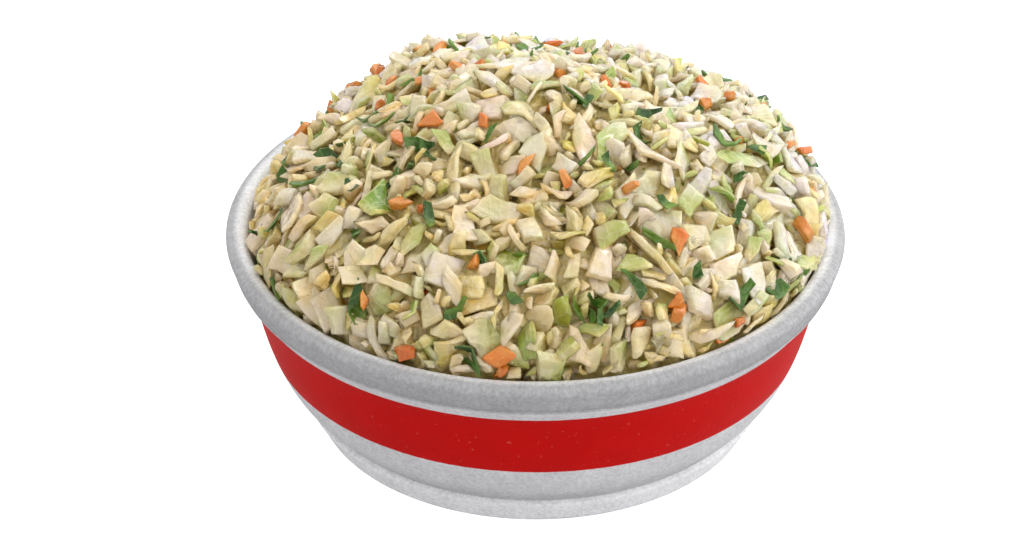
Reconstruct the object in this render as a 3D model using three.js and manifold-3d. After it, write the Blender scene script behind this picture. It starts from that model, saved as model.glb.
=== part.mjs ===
// A shallow moulded foam bowl, heaped with chopped coleslaw.
// Millimetres, +Z up. The origin is the middle of the bowl's foot, on the table.

import * as THREE from 'three';
import { mergeVertices } from 'three/addons/utils/BufferGeometryUtils.js';
import Module from 'manifold-3d';

const wasm = await Module();
wasm.setup();

// Bowl: the foot is a short cone, the wall swells out of it, and the lip is a rolled edge.
// A pair of numbers is a radius and a height.
const bowl = {
  segments: 56,
  recess: [35, 1.5],
  footInside: [36.5, 0],
  footOutside: [42, 0],
  footTop: [44.2, 5.3],
  wallFoot: [44.4, 5.6],
  wallSwell: [52.5, 13.7],
  wallStraight: [52.7, 26.3],
  wallTop: [54.9, 31],
  lipUnder: [57, 34],
  lipCentre: [56.4, 38.2],
  lipAcross: 2.1,
  lipUp: 1.8,
  innerStraight: [50.4, 24],
  innerBend: [47, 4.4],
  floorEdge: [36, 4.4],
  wallSteps: 6,
  lipSteps: 5,
  innerSteps: 7,
};

// Heap: a core that fills the bowl up to a dome, with the pieces that show fused on to it.
const heap = {
  seed: 4132,
  gap: 0.45, // clear of the bowl
  domeBase: 38.5,
  domeRadius: 53.8,
  domeHeight: 30,
  domeRound: 1.6,
  domeShoulder: 1.85,
  detail: 7, // how finely the core is faceted
  domeShare: 0.62, // of the core's facets, from the top down
  relief: 0.8,
  lift: [0.6, 1.6], // of a piece's middle over the dome
  overhang: 0.3, // how far the slaw leans out for each millimetre over the rim
  tries: 30,
  slide: 0.01,
};

// The chopped pieces, largest first: size across, thickness, corners or bend, and lean in degrees.
const cuts = [
  { shape: chip, count: 40, size: [8.4, 10.6], thick: [1.1, 1.6], corners: [4, 6], lean: 18 },
  { shape: ribbon, count: 22, size: [9, 14], width: [2, 3], thick: [1.0, 1.4], bend: 1.2, lean: 18 },
  { shape: chip, count: 80, size: [6.8, 8.6], thick: [1.0, 1.6], corners: [4, 5], lean: 24 },
  { shape: ribbon, count: 20, size: [6.5, 9.5], width: [2.8, 4], thick: [0.7, 0.9], bend: 2.2, lean: 34 },
  { shape: chip, count: 26, size: [5.6, 7.2], thick: [2.0, 2.9], corners: [4, 5], lean: 32 },
  { shape: chip, count: 36, size: [5, 6.4], thick: [1.0, 1.4], corners: [4, 4], lean: 30 },
  { shape: ribbon, count: 18, size: [3.6, 5.6], width: [1.9, 2.4], thick: [1.8, 2.2], bend: 0, lean: 36 },
];

const foam = new THREE.MeshStandardMaterial({ color: 0xe9e9ec, roughness: 0.62, metalness: 0 });
const cabbage = new THREE.MeshStandardMaterial({ color: 0xe3dcb6, roughness: 0.38, metalness: 0 });

// Seeded random numbers, so that the heap is the same every time.
let state = heap.seed;
function random() {
  state = (state + 0x6d2b79f5) | 0;
  let t = Math.imul(state ^ (state >>> 15), 1 | state);
  t = (t + Math.imul(t ^ (t >>> 7), 61 | t)) ^ t;
  return ((t ^ (t >>> 14)) >>> 0) / 4294967296;
}
const between = ([low, high]) => low + (high - low) * random();
const spread = (amount) => amount * (2 * random() - 1);
const at = ([radius, height]) => new THREE.Vector2(radius, height);

// The inside of the bowl's wall, from the rim down to the floor, moved in and up by a gap.
function insideWall(gap) {
  const b = bowl;
  const rim = [b.lipCentre[0] - b.lipAcross, b.lipCentre[1]];
  const points = [rim, b.innerStraight, b.innerBend, b.floorEdge];
  return new THREE.CubicBezierCurve(...points.map(([radius, height]) => at([radius - gap, height + gap])));
}

function bowlGeometry() {
  const b = bowl;
  const wall = new THREE.CubicBezierCurve(...[b.wallFoot, b.wallSwell, b.wallStraight, b.wallTop].map(at));
  // The lip is half an ellipse, from the outer edge over the crown to the inner edge.
  const lip = new THREE.EllipseCurve(...b.lipCentre, b.lipAcross, b.lipUp, 0, Math.PI);
  const profile = [
    at([0, b.recess[1]]),
    ...[b.recess, b.footInside, b.footOutside, b.footTop].map(at),
    ...wall.getPoints(b.wallSteps),
    at(b.lipUnder),
    ...lip.getPoints(b.lipSteps),
    ...insideWall(0).getPoints(b.innerSteps).slice(1),
    at([0, b.floorEdge[1]]),
  ];
  return bare(new THREE.LatheGeometry(profile, b.segments).rotateX(Math.PI / 2));
}

function bare(geometry) {
  geometry.deleteAttribute('normal');
  geometry.deleteAttribute('uv');
  return mergeVertices(geometry, 1e-4);
}

function solid(geometry) {
  return new wasm.Manifold(new wasm.Mesh({
    numProp: 3,
    vertProperties: new Float32Array(geometry.attributes.position.array),
    triVerts: new Uint32Array(geometry.index.array),
  }));
}

// Height of the dome over its base at a distance from the axis.
function domeRise(radius) {
  const inward = Math.max(0, 1 - (radius / heap.domeRadius) ** heap.domeRound);
  return heap.domeHeight * inward ** (1 / heap.domeShoulder);
}

// The dome's outline, from the top down to the rim.
const domeLine = new THREE.SplineCurve(Array.from({ length: 25 }, (_, i) => {
  const radius = heap.domeRadius * Math.sin(((i / 24) * Math.PI) / 2);
  return at([radius, heap.domeBase + domeRise(radius)]);
}));

// A spot on the dome: how far down from the top to the rim, from 0 to 1, and which way.
function domeSpot(part, angle) {
  const line = domeLine.getPointAt(part);
  const fall = domeLine.getTangentAt(part);
  const outward = [Math.cos(angle), Math.sin(angle)];
  return {
    place: new THREE.Vector3(line.x * outward[0], line.x * outward[1], line.y),
    normal: new THREE.Vector3(-fall.y * outward[0], -fall.y * outward[1], fall.x).normalize(),
  };
}

// A faceted ball drawn over the dome above and the bowl's inside below. The dome's points stand
// in or out by a random amount, so that its facets are as uneven as flakes.
function coreGeometry() {
  const wall = insideWall(heap.gap);
  const floor = wall.getPoint(1);
  const below = new THREE.CurvePath();
  below.add(wall);
  below.add(new THREE.LineCurve(floor, new THREE.Vector2(0, floor.y)));
  const geometry = bare(new THREE.IcosahedronGeometry(1, heap.detail));
  const points = geometry.attributes.position;
  const point = new THREE.Vector3();
  for (let i = 0; i < points.count; i += 1) {
    point.fromBufferAttribute(points, i).normalize();
    const angle = Math.atan2(point.y, point.x);
    const part = Math.acos(point.z) / Math.PI / heap.domeShare;
    if (part < 1) {
      const spot = domeSpot(part, angle);
      point.copy(spot.place).addScaledVector(spot.normal, spread(heap.relief * (1 - part ** 4)));
    } else {
      const rest = below.getPoint((part - 1) / (1 / heap.domeShare - 1));
      point.set(rest.x * Math.cos(angle), rest.x * Math.sin(angle), rest.y);
    }
    points.setXYZ(i, point.x, point.y, point.z);
  }
  return geometry;
}

// A closed mesh from rings of points: each ring is joined to the next, and both ends are capped.
function skin(rings) {
  const size = rings[0].length;
  const index = [];
  for (let i = 0; i < rings.length - 1; i += 1) {
    for (let j = 0; j < size; j += 1) {
      const a = i * size + j;
      const b = i * size + ((j + 1) % size);
      index.push(a, b, b + size, a, b + size, a + size);
    }
  }
  const last = (rings.length - 1) * size;
  for (let j = 1; j < size - 1; j += 1) {
    index.push(0, j + 1, j);
    index.push(last, last + j, last + j + 1);
  }
  const geometry = new THREE.BufferGeometry();
  geometry.setAttribute('position', new THREE.BufferAttribute(new Float32Array(rings.flat(2)), 3));
  geometry.setIndex(index);
  return geometry;
}

// A flat cut with straight, slightly sloping edges: an uneven polygon of 4 to 6 corners.
function chip(cut) {
  const corners = Math.round(between(cut.corners));
  const across = between(cut.size) / 2;
  const narrow = between([0.66, 0.96]);
  const thick = between(cut.thick);
  const start = random() * Math.PI;
  const outline = [];
  for (let i = 0; i < corners; i += 1) {
    const angle = start + ((i + spread(0.2)) / corners) * 2 * Math.PI;
    const reach = across * between([0.86, 1.1]);
    outline.push([reach * Math.cos(angle), narrow * reach * Math.sin(angle)]);
  }
  const face = (height, scale) => outline.map(([x, y]) => [x * scale, y * scale, height]);
  return skin([face(-thick / 2, 1), face(thick / 2, between([0.84, 0.97]))]);
}

// A strip, a curled leaf or a short stick: a bar that bends up or down along its length.
function ribbon(cut) {
  const long = between(cut.size);
  const wide = between(cut.width);
  const thick = between(cut.thick);
  const bend = spread(cut.bend);
  const steps = cut.bend > 0 ? 2 : 1;
  const rings = [];
  for (let i = 0; i <= steps; i += 1) {
    const along = i / steps - 0.5;
    const half = (wide / 2) * between([0.75, 1]);
    const height = bend * (1 - 4 * along * along);
    const x = along * long;
    rings.push([
      [x, -half, height - thick / 2], [x, half, height - thick / 2],
      [x, half, height + thick / 2], [x, -half, height + thick / 2],
    ]);
  }
  return skin(rings);
}

// Of a few random spots on the dome, the one that lies farthest from the pieces laid so far.
function openSpot(taken) {
  let best = null;
  let most = -1;
  for (let i = 0; i < heap.tries; i += 1) {
    let part = random();
    while (random() * heap.domeRadius > domeLine.getPointAt(part).x) part = random();
    const angle = 2 * Math.PI * random();
    const { place } = domeSpot(part, angle);
    const room = Math.min(...taken.map((other) => other.distanceTo(place)), Infinity);
    if (room > most) {
      most = room;
      best = { part, angle };
    }
  }
  return best;
}

// How far out the slaw may reach at a height: clear of the bowl, and little over its rim.
function roomAt(height) {
  const wall = insideWall(heap.gap);
  const rim = wall.getPoint(0);
  if (height >= rim.y) return rim.x + heap.overhang * (height - rim.y);
  let above = 0;
  let below = 1;
  while (below - above > 1e-5) {
    const middle = (above + below) / 2;
    if (wall.getPoint(middle).y > height) above = middle;
    else below = middle;
  }
  return wall.getPoint(above).x;
}

function meetsBowl(geometry) {
  const points = geometry.attributes.position;
  for (let i = 0; i < points.count; i += 1) {
    if (Math.hypot(points.getX(i), points.getY(i)) > roomAt(points.getZ(i))) return true;
  }
  return false;
}

// Lays a piece on the dome with a random turn and lean, partly sunk into the core. A piece that
// would meet the bowl slides up the dome until it is clear.
function lay(geometry, cut, taken) {
  const up = new THREE.Vector3(0, 0, 1);
  const spot = openSpot(taken);
  const lift = between(heap.lift);
  const turn = new THREE.Quaternion().setFromAxisAngle(up, 2 * Math.PI * random());
  const tip = THREE.MathUtils.degToRad(spread(cut.lean));
  turn.multiply(new THREE.Quaternion().setFromAxisAngle(new THREE.Vector3(1, 0, 0), tip));
  for (let part = spot.part; ; part -= heap.slide) {
    const { place, normal } = domeSpot(part, spot.angle);
    const upright = new THREE.Quaternion().setFromUnitVectors(up, normal);
    const middle = place.clone().addScaledVector(normal, lift);
    const piece = geometry.clone().applyQuaternion(upright.multiply(turn)).translate(...middle);
    if (!meetsBowl(piece)) {
      taken.push(place);
      return piece;
    }
  }
}

function heapGeometry() {
  let whole = solid(coreGeometry());
  const taken = [];
  for (const cut of cuts) {
    for (let i = 0; i < cut.count; i += 1) {
      whole = whole.add(solid(lay(cut.shape(cut), cut, taken)));
    }
  }
  // Only the largest skin is kept: a hollow shut in by pieces is filled, a loose scrap dropped.
  const largest = whole.decompose().reduce((a, b) => (b.volume() > a.volume() ? b : a));
  const mesh = largest.getMesh();
  const geometry = new THREE.BufferGeometry();
  geometry.setAttribute('position', new THREE.BufferAttribute(mesh.vertProperties, 3));
  geometry.setIndex(new THREE.BufferAttribute(mesh.triVerts, 1));
  return geometry;
}

const bowlMesh = new THREE.Mesh(bowlGeometry(), foam);
bowlMesh.name = 'bowl';

const heapMesh = new THREE.Mesh(heapGeometry(), cabbage);
heapMesh.name = 'coleslaw';

const group = new THREE.Group();
group.add(bowlMesh, heapMesh);

export default group;
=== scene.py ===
import math

import bpy
import numpy as np
from mathutils import Matrix, Vector


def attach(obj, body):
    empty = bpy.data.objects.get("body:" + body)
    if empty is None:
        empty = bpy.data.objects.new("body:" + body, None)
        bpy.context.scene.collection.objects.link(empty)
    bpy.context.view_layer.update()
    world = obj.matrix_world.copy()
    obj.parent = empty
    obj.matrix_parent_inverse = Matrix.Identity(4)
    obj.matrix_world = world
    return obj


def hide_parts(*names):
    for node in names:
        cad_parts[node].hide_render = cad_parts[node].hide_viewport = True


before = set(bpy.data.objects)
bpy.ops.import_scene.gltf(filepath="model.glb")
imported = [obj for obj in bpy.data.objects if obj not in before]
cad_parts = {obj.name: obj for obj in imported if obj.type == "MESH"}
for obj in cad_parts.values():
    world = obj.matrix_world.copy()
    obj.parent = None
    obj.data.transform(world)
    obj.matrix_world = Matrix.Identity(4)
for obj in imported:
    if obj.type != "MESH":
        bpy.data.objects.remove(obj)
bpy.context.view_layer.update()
mm = 0.001
fullTurn = 2 * math.pi

# Lengths in these dictionaries are millimetres, angles degrees and colours linear.
bowl = {
    "segments": 160,
    "recess": (35.0, 1.5),          # a pair is a radius and a height
    "footInside": (36.5, 0.0),
    "footMiddle": (39.0, 0.0),
    "footOutside": (42.0, 0.0),
    "footSwell": (43.1, 2.6),
    "footTop": [(44.6, 4.9), (44.5, 5.3), (44.2, 5.5)],
    "crease": (43.7, 5.7),
    "wallFoot": (43.9, 6.0),
    "wallSwell": (52.5, 13.7),
    "wallStraight": (52.7, 26.3),
    "wallTop": (54.9, 31.0),
    "lipUnder": [(55.9, 32.5), (57.05, 33.85)],
    "lipStep": [(56.7, 34.1), (56.75, 34.35), (57.4, 34.6)],
    "lipSide": [(57.8, 36.0), (58.2, 37.3)],
    "lipCentre": (56.4, 38.2),
    "lipAcross": 2.1,
    "lipUp": 1.8,
    "innerStraight": (50.4, 24.0),
    "innerBend": (47.0, 4.4),
    "floorEdge": (36.0, 4.4),
    "bandLow": 17.1,
    "bandHigh": 31.1,
    "white": (0.78, 0.78, 0.80),
    "red": (0.62, 0.004, 0.003),
}

heap = {
    "seed": 911,
    "centre": 5.0,                  # height of the point that the heap is built round
    "ball": 65.0,                   # radius at which a degree of turn is measured
    "cell": 0.5,
    "reach": 80.0,
    "rimHeight": 39.9,
    "radius": 54.9,
    "rise": 28.8,
    "round": 2.25,
    "depth": 7.0,                   # of the loose pieces over what isn't made
    "unevenness": 1.1,
    "dip": (3.6, 0.42),             # depth and width, in radians, of a dip in the heap's side
    "dipWay": (-0.746, 0.233, 0.62),
    "sink": 15,                     # percent of a piece's underside that may press into the others
    "proud": 2.2,                   # how far a piece may stand out of the heap
    "overRim": 55.7,
    "clear": 0.12,
    "squeeze": 1.3,                 # how far a piece may be pressed back by the wall
    "seenDepth": 2.2,
    "seenShare": 0.02,
}

# Shades that run on from piece to piece: patches at random, and painted shade, darker and yellower
# in the gaps and warmer and darker towards the front left.
dressingAndPaintedShade = {
    "wash": (0.905, 0.87, 0.955),   # the dressing's tint over every piece
    "brightSpread": 0.05,
    "hueSpread": 0.02,
    "paintedShadeWay": (-0.0055, -0.0080, 0),   # painted shade gained along each axis, or all 0 for an even heap,
    "paintedShadeFrom": (-4, 22, 0),        # from here on
    "paintedShadeMost": 0.36,
    "gapFrom": 0.4,                 # from this depth
    "gapTo": 3.2,                   # to this one a piece is yellower and darker with painted shade, for each millimetre by:
    "gapYellowAndShade": 0.6,
    "gapPaintedShade": 0.08,
    "yellowPatches": 0.08,
    "greenPatches": 0.3,
    "yellows": (0.02, 0.20, 1.3),   # how much of red, green and blue goes where it is yellower,
    "paintedShadeLoss": (0.22, 0.50, 1.38),    # where it has painted side shade, warmer and darker
    "greens": (0.38, 0.10, 0.62),   # and where it is greener
}

# wonky: how far the corners stray, ragged: how rough the edge is, ruffle: how far it waves up and down,
# bow: how far a piece curves sideways, crown: how far it swells, crisp: how flat its sides shade,
# layers: how many leaves may lie on each other; then how far the cut sides take on their own colour,
# which on the cabbage kinds is yellower: painted shade on the sides.
# A palette entry is two colours that a piece fades between.
usual = {"ruffle": 0.0, "bow": 0.0, "crown": 0.15, "rough": 0.1, "layers": 1, "crisp": 0.8}
kinds = {
    "creamFlakes": {
        "share": 22, "size": (4.6, 9.2), "aspect": (0.5, 0.95), "thick": (0.5, 1.2), "wonky": 0.34,
        "ragged": 0.22, "curl": 0.07, "wave": 0.4, "ruffle": 0.6, "lean": 19,
        "layers": 3, "cutSideShare": 0.6, "cutFaceAndShade": (0.91, 0.84, 0.62),
        "palette": [((0.91, 0.86, 0.76), (0.88, 0.80, 0.60)), ((0.91, 0.86, 0.78), (0.90, 0.84, 0.72)),
                    ((0.90, 0.84, 0.70), (0.76, 0.73, 0.38)), ((0.90, 0.84, 0.74), (0.91, 0.87, 0.79)),
                    ((0.90, 0.85, 0.66), (0.40, 0.56, 0.11)), ((0.90, 0.86, 0.70), (0.54, 0.64, 0.18))],
    },
    "whiteFlakes": {
        "share": 28, "size": (4.4, 9.0), "aspect": (0.45, 0.9), "thick": (0.8, 1.9), "wonky": 0.32,
        "ragged": 0.18, "curl": 0.06, "wave": 0.35, "ruffle": 0.4, "crown": 0.25, "lean": 19,
        "layers": 2, "cutSideShare": 0.5, "cutFaceAndShade": (0.92, 0.86, 0.66),
        "palette": [((0.92, 0.88, 0.80), (0.90, 0.85, 0.74)), ((0.91, 0.87, 0.79), (0.92, 0.88, 0.81)),
                    ((0.91, 0.86, 0.78), (0.88, 0.81, 0.62)), ((0.90, 0.86, 0.74), (0.54, 0.64, 0.18)),
                    ((0.92, 0.88, 0.81), (0.91, 0.86, 0.78))],
    },
    "ribDice": {
        "share": 20, "size": (4.2, 7.8), "aspect": (0.45, 0.8), "thick": (1.6, 2.8), "wonky": 0.25,
        "ragged": 0.08, "curl": 0.05, "wave": 0.1, "lean": 24,
        "crisp": 2.0, "cutSideShare": 0.5, "cutFaceAndShade": (0.91, 0.85, 0.64),
        "palette": [((0.92, 0.88, 0.80), (0.90, 0.83, 0.68)), ((0.90, 0.84, 0.72), (0.80, 0.76, 0.42)),
                    ((0.89, 0.85, 0.70), (0.48, 0.59, 0.14)), ((0.92, 0.88, 0.81), (0.91, 0.87, 0.78))],
    },
    "cabbageStrips": {
        "share": 9, "size": (6.0, 14.0), "aspect": (0.16, 0.34), "thick": (0.7, 1.7), "wonky": 0.28,
        "ragged": 0.15, "curl": 0.09, "wave": 0.4, "ruffle": 0.2, "bow": 0.14, "crown": 0.25, "lean": 16,
        "rough": 0.08, "cutSideShare": 0.5, "cutFaceAndShade": (0.93, 0.86, 0.56),
        "palette": [((0.91, 0.86, 0.76), (0.89, 0.82, 0.64)), ((0.89, 0.81, 0.54), (0.70, 0.69, 0.24)),
                    ((0.90, 0.86, 0.79), (0.88, 0.80, 0.58))],
    },
    "yellowFlakes": {
        "share": 7, "size": (4.0, 9.0), "aspect": (0.45, 0.9), "thick": (0.5, 1.1), "wonky": 0.34,
        "ragged": 0.25, "curl": 0.1, "wave": 0.5, "ruffle": 0.7, "lean": 20,
        "layers": 2, "cutSideShare": 0.4, "cutFaceAndShade": (0.90, 0.80, 0.44),
        "palette": [((0.85, 0.71, 0.24), (0.90, 0.80, 0.48)), ((0.78, 0.71, 0.20), (0.91, 0.83, 0.56))],
    },
    "paleGreenFlakes": {
        "share": 9, "size": (4.0, 9.0), "aspect": (0.35, 0.8), "thick": (0.4, 1.0), "wonky": 0.38,
        "ragged": 0.25, "curl": 0.14, "wave": 0.5, "ruffle": 0.6, "bow": 0.1, "lean": 22,
        "cutSideShare": 0.6, "cutFaceAndShade": (0.80, 0.80, 0.40),
        "palette": [((0.25, 0.43, 0.04), (0.86, 0.80, 0.36)), ((0.38, 0.54, 0.08), (0.92, 0.85, 0.52)),
                    ((0.20, 0.39, 0.05), (0.46, 0.57, 0.11)), ((0.52, 0.61, 0.13), (0.93, 0.87, 0.58))],
    },
    "darkGreenLeaf": {
        "share": 5, "size": (3.6, 8.6), "aspect": (0.2, 0.5), "thick": (0.3, 0.6), "wonky": 0.38,
        "ragged": 0.2, "curl": 0.24, "wave": 0.5, "ruffle": 0.6, "bow": 0.1, "crown": 0.0, "lean": 22,
        "crisp": 0.5, "cutSideShare": 0.5, "cutFaceAndShade": (0.26, 0.44, 0.14),
        "palette": [((0.018, 0.075, 0.012), (0.06, 0.20, 0.02)), ((0.04, 0.135, 0.015), (0.24, 0.42, 0.05)),
                    ((0.03, 0.105, 0.012), (0.12, 0.28, 0.03))],
    },
    "carrotDice": {
        "share": 3.2, "size": (2.5, 4.9), "aspect": (0.4, 0.75), "thick": (1.1, 2.1), "wonky": 0.25,
        "ragged": 0.08, "curl": 0.0, "wave": 0.1, "crown": 0.1, "lean": 28,
        "crisp": 2.0, "cutSideShare": 0.3, "cutFaceAndShade": (0.90, 0.36, 0.06),
        "palette": [((0.88, 0.18, 0.012), (0.90, 0.28, 0.025)), ((0.92, 0.44, 0.11), (0.90, 0.22, 0.02)),
                    ((0.90, 0.27, 0.02), (0.93, 0.40, 0.07))],
    },
    "fineShreds": {
        "share": 30, "size": (3.0, 6.5), "aspect": (0.16, 0.34), "thick": (0.5, 1.1), "wonky": 0.25,
        "ragged": 0.1, "curl": 0.12, "wave": 0.3, "ruffle": 0.2, "bow": 0.3, "crown": 0.2, "lean": 18,
        "rough": 0.06, "cutSideShare": 0.3, "cutFaceAndShade": (0.94, 0.88, 0.68),
        "palette": [((0.95, 0.89, 0.76), (0.91, 0.81, 0.50)), ((0.92, 0.82, 0.52), (0.86, 0.74, 0.34)),
                    ((0.91, 0.81, 0.46), (0.56, 0.63, 0.15))],
    },
    "smallBits": {
        "share": 50, "size": (2.0, 4.0), "aspect": (0.5, 0.9), "thick": (0.6, 1.6), "wonky": 0.35,
        "ragged": 0.12, "curl": 0.06, "wave": 0.2, "ruffle": 0.2, "lean": 24,
        "rough": 0.06, "crisp": 1.2, "cutSideShare": 0.3, "cutFaceAndShade": (0.94, 0.88, 0.70),
        "palette": [((0.95, 0.90, 0.78), (0.91, 0.82, 0.54)), ((0.92, 0.83, 0.58), (0.86, 0.75, 0.36)),
                    ((0.86, 0.72, 0.24), (0.92, 0.83, 0.52)), ((0.40, 0.56, 0.09), (0.86, 0.80, 0.38)),
                    ((0.94, 0.88, 0.70), (0.95, 0.90, 0.80))],
    },
}
kinds = {name: {**usual, **kind} for name, kind in kinds.items()}

print("building the bowl")


def cubic(a, b, c, d, steps):
    t = np.linspace(0, 1, steps)[:, None]
    a, b, c, d = map(np.array, (a, b, c, d))
    return (1 - t) ** 3 * a + 3 * (1 - t) ** 2 * t * b + 3 * (1 - t) * t * t * c + t ** 3 * d


def lipArc(steps):
    turn = np.linspace(0, math.pi, steps)
    across, up = bowl["lipCentre"]
    return np.stack([across + bowl["lipAcross"] * np.cos(turn), up + bowl["lipUp"] * np.sin(turn)], 1)


def innerWall(steps):
    rim = (bowl["lipCentre"][0] - bowl["lipAcross"], bowl["lipCentre"][1])
    return cubic(rim, bowl["innerStraight"], bowl["innerBend"], bowl["floorEdge"], steps)


def meshPiece(name, points, faces, smooth=True):
    mesh = bpy.data.meshes.new(name)
    mesh.from_pydata(points, [], faces)
    mesh.polygons.foreach_set("use_smooth", [smooth] * len(mesh.polygons))
    mesh.update()
    piece = bpy.data.objects.new(name, mesh)
    bpy.context.scene.collection.objects.link(piece)
    return piece


def turnedMesh(name, profile, segments):
    points, faces = [(0, 0, profile[0][1] * mm)], []
    ring = profile[1:-1]
    for radius, height in ring:
        for i in range(segments):
            angle = fullTurn * i / segments
            points.append((radius * math.cos(angle) * mm, radius * math.sin(angle) * mm, height * mm))
    points.append((0, 0, profile[-1][1] * mm))
    last = len(points) - 1
    for i in range(segments):
        j = (i + 1) % segments
        faces.append((0, 1 + j, 1 + i))
        for k in range(len(ring) - 1):
            a, b = 1 + k * segments, 1 + (k + 1) * segments
            faces.append((a + i, a + j, b + j, b + i))
        end = 1 + (len(ring) - 1) * segments
        faces.append((end + i, end + j, last))
    return meshPiece(name, points, faces)


def bowlPiece():
    recess, recessHigh = bowl["recess"]
    inside, outside, floorHigh = bowl["footInside"][0], bowl["footOutside"][0], bowl["floorEdge"][1]
    wall = cubic(bowl["wallFoot"], bowl["wallSwell"], bowl["wallStraight"], bowl["wallTop"], 40)
    underside = [(0, recessHigh), (20, recessHigh), (recess - 0.5, recessHigh),
                 (recess + 0.3, recessHigh - 0.3)]
    foot = [(inside - 0.4, 0.3), (inside + 0.2, 0), bowl["footMiddle"], (outside - 0.5, 0),
            (outside + 0.15, 0.25), (outside + 0.5, 0.9), bowl["footSwell"], *bowl["footTop"],
            bowl["crease"]]
    lip = [*bowl["lipUnder"], *bowl["lipStep"], *bowl["lipSide"], *lipArc(22)]
    profile = [*underside, *foot, *wall, *lip, *innerWall(24)[1:], (18, floorHigh), (0, floorHigh)]
    return turnedMesh("foamBowl", profile, bowl["segments"])


foamBowl = bowlPiece()

print("heaping the slaw")
rng = np.random.default_rng(heap["seed"])
side = int(2 * heap["reach"] / heap["cell"])
centre = np.array([0, 0, heap["centre"]])


# The heap is measured outwards from one point inside it. A direction is a cell of a flat map.
def cellsOf(points):
    away = points - centre
    far = np.linalg.norm(away, axis=1)
    tilt = np.arccos(np.clip(away[:, 2] / far, -1, 1)) * heap["ball"]
    turn = np.arctan2(away[:, 1], away[:, 0])
    u = ((tilt * np.cos(turn) + heap["reach"]) / heap["cell"]).astype(int)
    v = ((tilt * np.sin(turn) + heap["reach"]) / heap["cell"]).astype(int)
    return np.clip(u, 0, side - 1), np.clip(v, 0, side - 1), far


def directions(u, v):
    x = (u + 0.5) * heap["cell"] - heap["reach"]
    y = (v + 0.5) * heap["cell"] - heap["reach"]
    tilt = np.hypot(x, y) / heap["ball"]
    turn = np.arctan2(y, x)
    return np.stack([np.sin(tilt) * np.cos(turn), np.sin(tilt) * np.sin(turn), np.cos(tilt)], -1)


def outline():
    t = np.linspace(0, 1, 400)
    radius = heap["radius"] * (1 - t ** heap["round"])
    height = heap["rimHeight"] + heap["rise"] * t
    return radius, height


def waveField(count, length):
    ways = rng.normal(size=(count, 3))
    ways *= fullTurn / (np.linalg.norm(ways, axis=1) * length * rng.uniform(0.8, 1.3, count))[:, None]
    starts = rng.uniform(0, fullTurn, count)
    return lambda points: np.cos(points @ ways.T + starts).sum(-1) / math.sqrt(count / 2)


gridU, gridV = np.meshgrid(np.arange(side), np.arange(side), indexing="ij")
mapWay = directions(gridU, gridV)
outR, outZ = outline()
outTilt = np.arctan2(outR, outZ - heap["centre"])
outFar = np.hypot(outR, outZ - heap["centre"])
mapTilt = np.arccos(np.clip(mapWay[..., 2], -1, 1))
target = np.interp(mapTilt, outTilt[::-1], outFar[::-1])
target += heap["unevenness"] * waveField(7, 30)(mapWay * 60) * np.clip((outTilt[0] - mapTilt) * 4, 0, 1)
fromDip = np.arccos(np.clip(mapWay @ (np.array(heap["dipWay"]) / np.linalg.norm(heap["dipWay"])), -1, 1))
target -= heap["dip"][0] * np.exp(-(fromDip / heap["dip"][1]) ** 2)
inHeap = mapTilt < outTilt[0]
level = np.where(inHeap, target - heap["depth"], 0)


def room(height):
    wall = innerWall(60)
    lip = lipArc(60)[30:][::-1]
    inner = np.interp(height, wall[::-1, 1], wall[::-1, 0])
    onLip = np.interp(height, lip[::-1, 1], lip[::-1, 0])
    lipTop = bowl["lipCentre"][1] + bowl["lipUp"]
    bounded = np.where(height < bowl["lipCentre"][1], inner, onLip)
    return np.where(height < lipTop, np.minimum(bounded, heap["overRim"]), heap["overRim"]) - heap["clear"]


def flatOutline(kind, long, short):
    square = np.array([(-1, -1), (1, -1), (1, 1), (-1, 1)])
    corners = square * (1 + rng.uniform(-1, 1, (4, 2)) * kind["wonky"])
    corners[:, 0] += rng.normal() * 0.25 * corners[:, 1]
    for _ in range(rng.integers(0, 3)):
        k = rng.integers(len(corners))
        tip, before, after = corners[k], corners[k - 1], corners[(k + 1) % len(corners)]
        f, g = rng.uniform(0.2, 0.75, 2)
        cutOff = [tip + (before - tip) * f, tip + (after - tip) * g]
        corners = np.insert(np.delete(corners, k, 0), k, cutOff, 0)
    corners = (corners - corners.mean(0)) * (long, short)
    points = []
    for a, b in zip(corners, np.roll(corners, -1, 0)):
        span = np.linalg.norm(b - a)
        if span < 0.5:
            continue
        parts = int(np.clip(round(span / 2.1), 1, 4))
        outward = np.array([b[1] - a[1], a[0] - b[0]]) / span
        points.append(a)
        for part in range(1, parts):
            along = (part + rng.uniform(-0.25, 0.25)) / parts
            points.append(a + (b - a) * along + outward * rng.normal() * kind["ragged"])
    return np.array(points)


def makeCut(kind):
    low, high = kind["size"]
    long = (low + (high - low) * rng.uniform() ** 1.3) / 2
    short = long * rng.uniform(*kind["aspect"])
    thick = rng.uniform(*kind["thick"])
    curl = kind["curl"] * (rng.normal() if kind["curl"] < 0.2 else rng.uniform(0.7, 1.3))
    return {
        "shape": flatOutline(kind, long, short),
        "thick": thick,
        "long": long,
        "curl": curl if abs(curl) > 1e-3 else 1e-3,
        "sag": rng.normal() * 0.03,
        "twist": rng.normal() * 0.03,
        "wedge": rng.normal(0, 0.15, 2) / long,
        "bow": rng.normal() * kind["bow"] / long,
        "ruffle": rng.uniform(0, kind["ruffle"]) / long ** 2,
        "ruffles": rng.integers(2, 4),
        "wave": rng.uniform(0, kind["wave"]),
        "waveWay": rng.normal(0, 0.8, 2),
        "waveStart": rng.uniform(0, fullTurn),
        "crumple": rng.uniform(0, 0.5) * kind["wave"],
        "crumpleWay": rng.normal(0, 1.3, 2),
        "crown": kind["crown"] * thick * rng.uniform(0.3, 1),
        "skew": rng.uniform(-0.25, 0.25, 2) * thick,
        "under": rng.uniform(0.86, 1.0),
        "rough": kind["rough"],
        "layers": kind["layers"] if long > 2.4 and rng.uniform() < 0.12 else 1,
    }


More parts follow.
